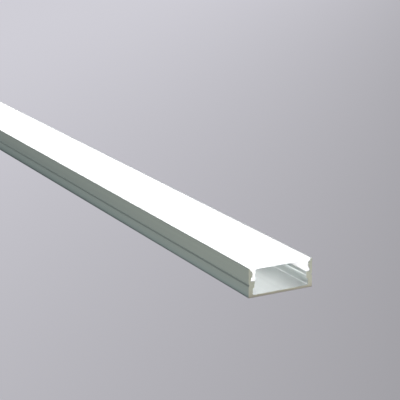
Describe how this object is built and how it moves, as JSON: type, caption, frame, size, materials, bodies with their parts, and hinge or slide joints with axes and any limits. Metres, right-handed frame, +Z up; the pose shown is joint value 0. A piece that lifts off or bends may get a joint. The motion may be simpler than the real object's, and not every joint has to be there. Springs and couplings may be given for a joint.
{
  "type": "led strip aluminium profile",
  "caption": "Surface-mounted aluminium channel for a light strip, with a snap-in opal diffuser cover, open at both ends.",
  "frame": {"origin": "Middle of the underside: half way along the length and half way across, on the base's lower face.", "axes": "+X runs along the profile, +Y across it and +Z up, out of the open side that the cover closes."},
  "size_m": [0.5, 0.0234, 0.0098],
  "materials": {
    "anodised_aluminium": "natural anodised, satin, with fine extrusion lines along the length",
    "opal_plastic": "opal white, smooth satin"
  },
  "bodies": {
    "channel": {"channel": "anodised_aluminium"},
    "cover": {"diffuser_cover": "opal_plastic"}
  },
  "joints": [
    {"name": "cover_slide", "type": "slide", "parent": "channel", "child": "cover", "axis": [1, 0, 0], "range_m": [-0.51, 0.51]}
  ]
}
